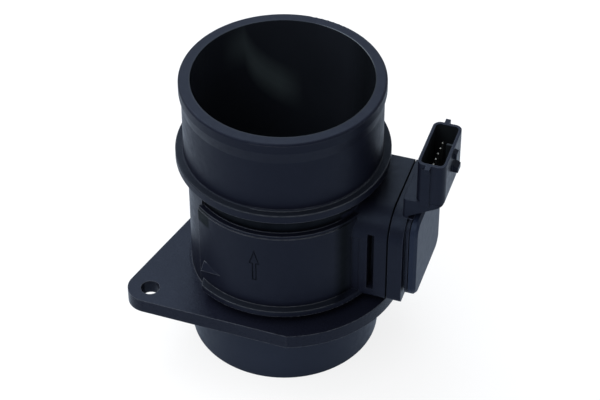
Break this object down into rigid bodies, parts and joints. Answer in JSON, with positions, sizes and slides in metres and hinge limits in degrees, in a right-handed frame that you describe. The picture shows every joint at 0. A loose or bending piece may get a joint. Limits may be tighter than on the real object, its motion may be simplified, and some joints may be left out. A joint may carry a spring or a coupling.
{
  "type": "mass airflow sensor",
  "caption": "Tube-type hot-film mass airflow sensor with a screw flange, hose spigot, side electronics module and upright plug socket.",
  "frame": {"origin": "centre of the inlet spigot's end face, on the tube's axis", "axes": "+Z along the tube's axis in the flow direction, towards the hose spigot; +X out through the electronics module's cover"},
  "size_m": [0.1088, 0.0946, 0.1097],
  "materials": {
    "housing_plastic": "fine satin mould texture",
    "module_plastic": "satin",
    "cover_plastic": "satin",
    "grid_plastic": "satin",
    "seal_rubber": "matt",
    "sealing_bead": "satin",
    "spreader_metal": "rolled",
    "board": "lacquered",
    "chip_plastic": "matt",
    "capacitor_metal": "satin",
    "strip_ceramic": "satin",
    "film_glass": "polished",
    "bead_glass": "polished",
    "terminal_metal": "tin plated",
    "ring_steel": "spring steel"
  },
  "bodies": {
    "root": {"tube_housing": "housing_plastic", "module_carrier": "module_plastic", "module_cover": "cover_plastic", "channel_cover": "module_plastic", "plug_seal": "seal_rubber", "cover_seal": "sealing_bead", "heat_spreader": "spreader_metal", "circuit_board": "board", "processor_chip": "chip_plastic", "amplifier_chip": "chip_plastic", "supply_capacitor": "capacitor_metal", "sensor_strip": "strip_ceramic", "hot_film": "film_glass", "air_temperature_bead": "bead_glass", "inlet_grid": "grid_plastic", "grid_ring": "ring_steel", "terminal_1": "terminal_metal", "terminal_2": "terminal_metal", "terminal_3": "terminal_metal", "terminal_4": "terminal_metal", "terminal_5": "terminal_metal"}
  },
  "joints": []
}
